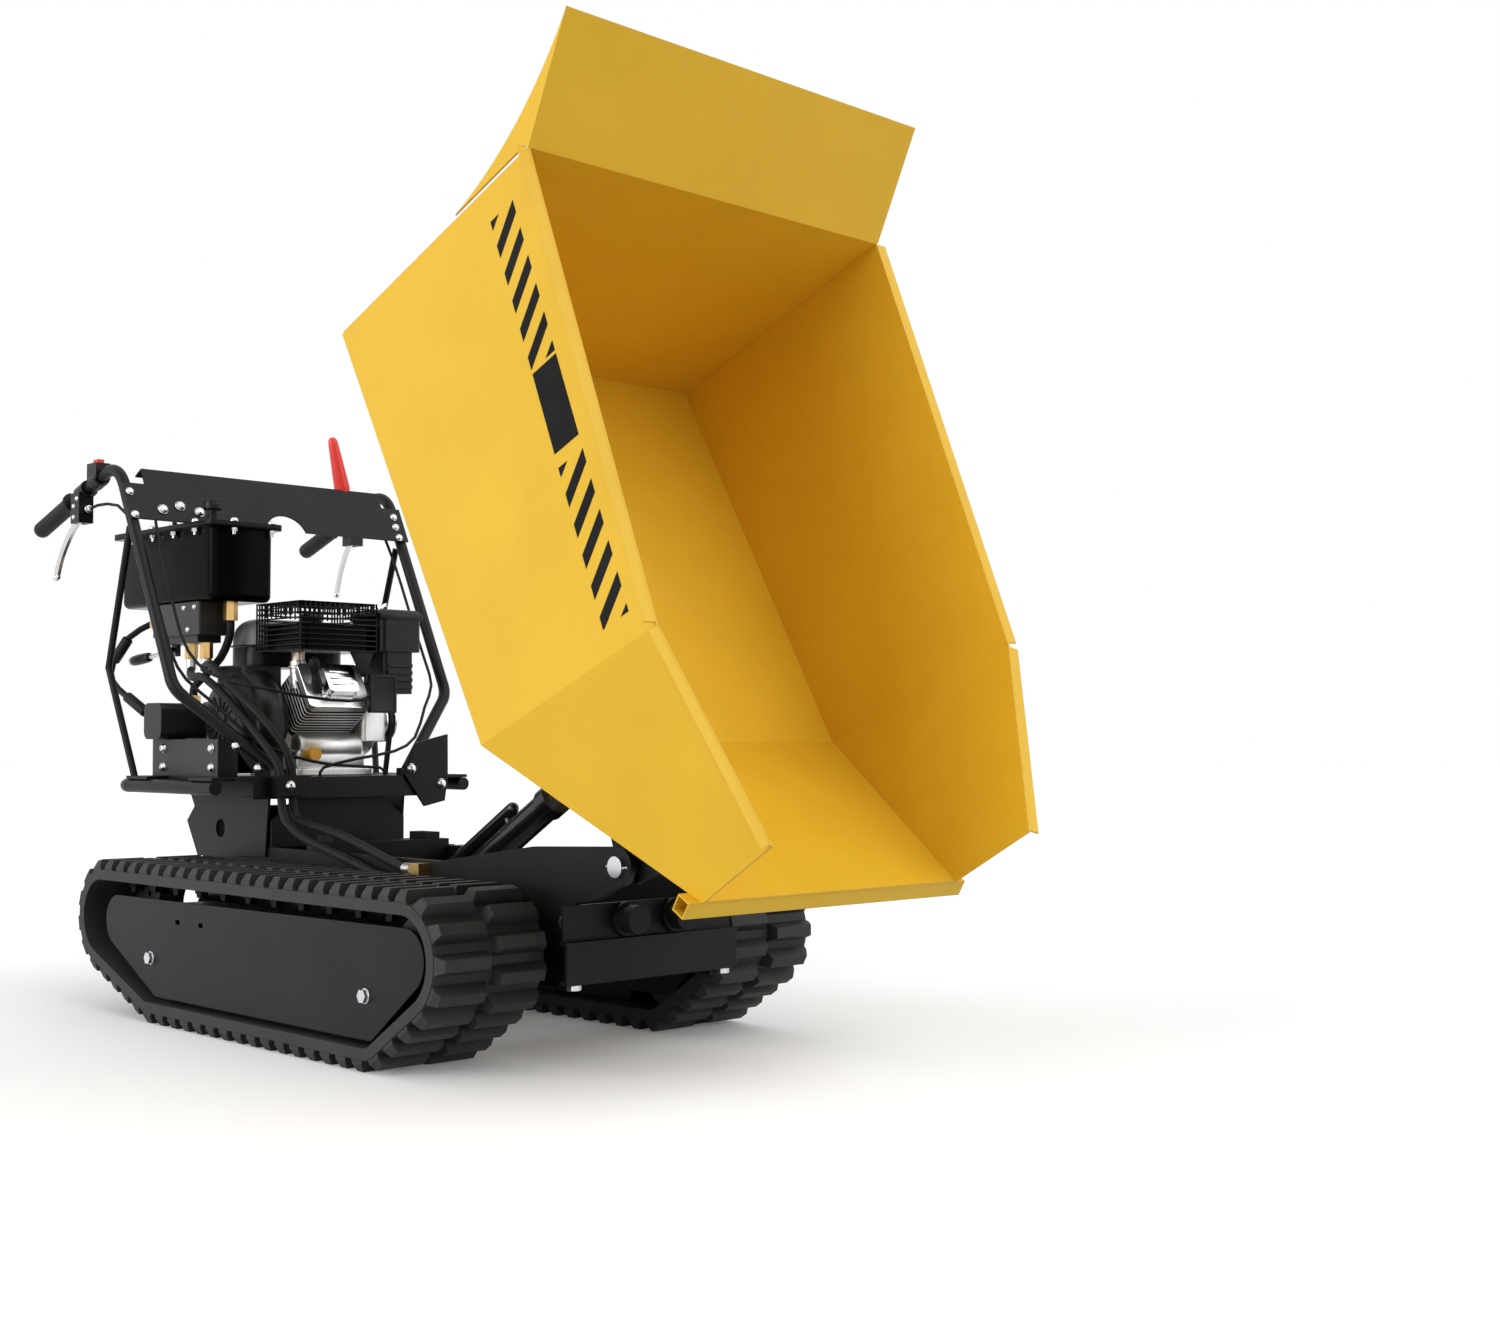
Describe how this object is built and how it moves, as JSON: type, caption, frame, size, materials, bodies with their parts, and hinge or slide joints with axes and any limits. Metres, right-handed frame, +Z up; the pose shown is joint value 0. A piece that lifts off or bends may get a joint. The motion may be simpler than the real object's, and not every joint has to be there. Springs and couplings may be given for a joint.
{
  "type": "tracked power carrier",
  "caption": "Walk-behind tracked power carrier with rubber tracks, petrol engine, hydraulic lift cylinder and a tipping sheet-metal skip, shown tipped.",
  "frame": {"origin": "on the ground under the middle of the box of the whole carrier", "axes": "+X the way it drives and tips, +Y its left side, +Z up"},
  "size_m": [2.0937, 0.77, 1.5014],
  "materials": {
    "skip_yellow": "satin",
    "black_paint": "satin",
    "black_plastic": "matte",
    "track_rubber": "matte",
    "soft_rubber": "matte",
    "bright_steel": "polished",
    "zinc": "satin",
    "yellow_zinc": "satin",
    "brass": "satin",
    "cast_alloy": "cast",
    "cast_iron": "satin",
    "red_plastic": "gloss",
    "oil_yellow": "gloss"
  },
  "bodies": {
    "carrier": {"chassis_frame": "black_paint", "front_plate": "black_paint", "rubber_buffers": "soft_rubber", "hinge_pins": "bright_steel", "front_spring": "yellow_zinc", "frame_bolts": "zinc", "gearbox": "cast_iron", "engine_stand": "black_paint", "rear_guard": "black_paint", "right_track_belt": "track_rubber", "left_track_belt": "track_rubber", "track_covers": "black_paint", "right_track_frame": "black_paint", "left_track_frame": "black_paint", "right_handlebar": "black_paint", "left_handlebar": "black_paint", "handlebar_stays": "black_paint", "hand_grips": "soft_rubber", "lever_perches": "black_plastic", "switch_box": "black_plastic", "control_panel": "black_paint", "oil_tank": "black_paint", "tank_lid": "black_paint", "control_valve": "cast_iron", "brass_fittings": "brass", "gear_pump": "cast_iron", "hydraulic_hoses": "soft_rubber", "control_cables": "soft_rubber", "engine_block": "cast_alloy", "valve_cover": "bright_steel", "fan_housing": "black_plastic", "fuel_tank": "black_plastic", "muffler": "black_paint", "muffler_guard": "black_paint", "air_cleaner": "black_plastic", "oil_filler_cap": "oil_yellow", "drive_belt": "soft_rubber"},
    "skip": {"skip_floor": "skip_yellow", "skip_right_side": "skip_yellow", "skip_left_side": "skip_yellow", "skip_rear_wall": "skip_yellow", "skip_subframe": "black_paint"},
    "right_sprocket": {"right_sprocket": "cast_iron"},
    "left_sprocket": {"left_sprocket": "cast_iron"},
    "right_idler": {"right_idler": "cast_iron"},
    "left_idler": {"left_idler": "cast_iron"},
    "right_front_roller": {"right_front_roller": "cast_iron"},
    "right_rear_roller": {"right_rear_roller": "cast_iron"},
    "left_front_roller": {"left_front_roller": "cast_iron"},
    "left_rear_roller": {"left_rear_roller": "cast_iron"},
    "engine_pulley": {"engine_pulley": "zinc"},
    "gearbox_pulley": {"gearbox_pulley": "zinc"},
    "cylinder_rod": {"cylinder_rod": "bright_steel"},
    "cylinder_barrel": {"cylinder_barrel": "black_paint"},
    "right_clutch_lever": {"right_clutch_lever": "bright_steel"},
    "left_clutch_lever": {"left_clutch_lever": "bright_steel"},
    "drive_lever": {"drive_lever": "red_plastic"},
    "valve_lever": {"valve_lever": "bright_steel"},
    "stop_button": {"stop_button": "red_plastic"}
  },
  "joints": [
    {"name": "skip_tip", "type": "hinge", "parent": "carrier", "child": "skip", "pos_m": [0.60133, 0, 0.312], "axis": [0, 1, 0], "range_deg": [-60, 0]},
    {"name": "rod_swing", "type": "hinge", "parent": "skip", "child": "cylinder_rod", "pos_m": [0.49133, 0, 0.53254], "axis": [0, 1, 0], "range_deg": [0, 73.68]},
    {"name": "barrel_slide", "type": "slide", "parent": "cylinder_rod", "child": "cylinder_barrel", "axis": [0.8624, 0, 0.5063], "range_m": [0, 0.20833]},
    {"name": "right_drive", "type": "hinge", "parent": "carrier", "child": "right_sprocket", "pos_m": [-0.58366, -0.285, 0.175], "axis": [0, 1, 0], "continuous": true},
    {"name": "right_idler_spin", "type": "hinge", "parent": "carrier", "child": "right_idler", "pos_m": [0.39133, -0.285, 0.175], "axis": [0, 1, 0], "continuous": true},
    {"name": "right_front_roller_spin", "type": "hinge", "parent": "carrier", "child": "right_front_roller", "pos_m": [0.29134, -0.285, 0.077], "axis": [0, 1, 0], "continuous": true},
    {"name": "right_rear_roller_spin", "type": "hinge", "parent": "carrier", "child": "right_rear_roller", "pos_m": [-0.39866, -0.285, 0.077], "axis": [0, 1, 0], "continuous": true},
    {"name": "left_drive", "type": "hinge", "parent": "carrier", "child": "left_sprocket", "pos_m": [-0.58366, 0.285, 0.175], "axis": [0, 1, 0], "continuous": true},
    {"name": "left_idler_spin", "type": "hinge", "parent": "carrier", "child": "left_idler", "pos_m": [0.39133, 0.285, 0.175], "axis": [0, 1, 0], "continuous": true},
    {"name": "left_front_roller_spin", "type": "hinge", "parent": "carrier", "child": "left_front_roller", "pos_m": [0.29134, 0.285, 0.077], "axis": [0, 1, 0], "continuous": true},
    {"name": "left_rear_roller_spin", "type": "hinge", "parent": "carrier", "child": "left_rear_roller", "pos_m": [-0.39866, 0.285, 0.077], "axis": [0, 1, 0], "continuous": true},
    {"name": "engine_spin", "type": "hinge", "parent": "carrier", "child": "engine_pulley", "pos_m": [-0.51367, 0, 0.538], "axis": [0, 1, 0], "continuous": true},
    {"name": "gearbox_input", "type": "hinge", "parent": "carrier", "child": "gearbox_pulley", "pos_m": [-0.57366, 0, 0.33], "axis": [0, 1, 0], "continuous": true},
    {"name": "right_clutch", "type": "hinge", "parent": "carrier", "child": "right_clutch_lever", "pos_m": [-0.84935, -0.31048, 0.94017], "axis": [0, 1, 0], "range_deg": [0, 22], "stiffness_Nm_per_rad": 1, "springref_deg": -17.19},
    {"name": "left_clutch", "type": "hinge", "parent": "carrier", "child": "left_clutch_lever", "pos_m": [-0.84935, 0.31048, 0.94017], "axis": [0, 1, 0], "range_deg": [0, 22], "stiffness_Nm_per_rad": 1, "springref_deg": -17.19},
    {"name": "drive_shift", "type": "hinge", "parent": "carrier", "child": "drive_lever", "pos_m": [-0.6959, 0.19, 0.93993], "axis": [0, 1, 0], "range_deg": [-18, 0]},
    {"name": "valve_shift", "type": "hinge", "parent": "carrier", "child": "valve_lever", "pos_m": [-0.75367, -0.165, 0.67541], "axis": [0, 1, 0], "range_deg": [-15, 15], "stiffness_Nm_per_rad": 2},
    {"name": "stop_press", "type": "slide", "parent": "carrier", "child": "stop_button", "axis": [0, 0, -1], "range_m": [0, 0.003], "stiffness_N_per_m": 400, "springref_m": -0.002}
  ],
  "couplings": [
    {"joint": "rod_swing", "follows": "skip_tip", "ratio": -1.228},
    {"joint": "barrel_slide", "follows": "skip_tip", "m_per_rad": -0.19894},
    {"joint": "right_idler_spin", "follows": "right_drive", "ratio": 1},
    {"joint": "right_front_roller_spin", "follows": "right_drive", "ratio": 1.7},
    {"joint": "right_rear_roller_spin", "follows": "right_drive", "ratio": 1.7},
    {"joint": "left_idler_spin", "follows": "left_drive", "ratio": 1},
    {"joint": "left_front_roller_spin", "follows": "left_drive", "ratio": 1.7},
    {"joint": "left_rear_roller_spin", "follows": "left_drive", "ratio": 1.7},
    {"joint": "gearbox_input", "follows": "engine_spin", "ratio": 0.62963}
  ]
}
